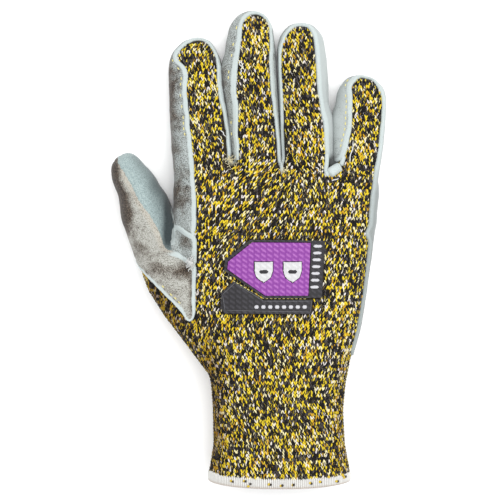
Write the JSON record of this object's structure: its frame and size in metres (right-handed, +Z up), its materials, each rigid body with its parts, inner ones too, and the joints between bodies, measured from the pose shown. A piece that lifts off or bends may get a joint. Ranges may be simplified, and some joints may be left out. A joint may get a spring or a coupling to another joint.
{
  "type": "cut-resistant work glove",
  "caption": "Right-hand knitted work glove with a split-leather palm, leather finger fronts and thumb, and an overlocked cuff, lying palm down.",
  "frame": {"origin": "middle of the box's underside, where the glove lies on its palm", "axes": "+Y towards the fingertips, +Z up out of the back of the hand, +X towards the little finger"},
  "size_m": [0.1484, 0.255, 0.0425],
  "materials": {
    "knit": "marled black, yellow and cream rib knit",
    "suede": "split leather with a grey-brown nap and a pale raw edge",
    "pale_leather": "fine matt split leather",
    "hem": "white overlock thread",
    "black_rubber": "matt",
    "purple_rubber": "matt, moulded over the knit",
    "white_rubber": "smooth"
  },
  "bodies": {
    "root": {"knit_hand": "knit", "knit_thumb": "knit", "knit_index": "knit", "knit_middle": "knit", "knit_ring": "knit", "knit_little": "knit", "palm_leather": "suede", "thumb_leather_outer": "suede", "thumb_leather_front": "pale_leather", "thumb_lobe_middle": "pale_leather", "thumb_lobe_upper": "suede", "crotch_saddle": "pale_leather", "cuff_hem": "hem", "patch_frame": "black_rubber", "patch_panel": "purple_rubber", "patch_strip": "black_rubber", "badge_left": "white_rubber", "badge_right": "white_rubber"}
  },
  "joints": []
}
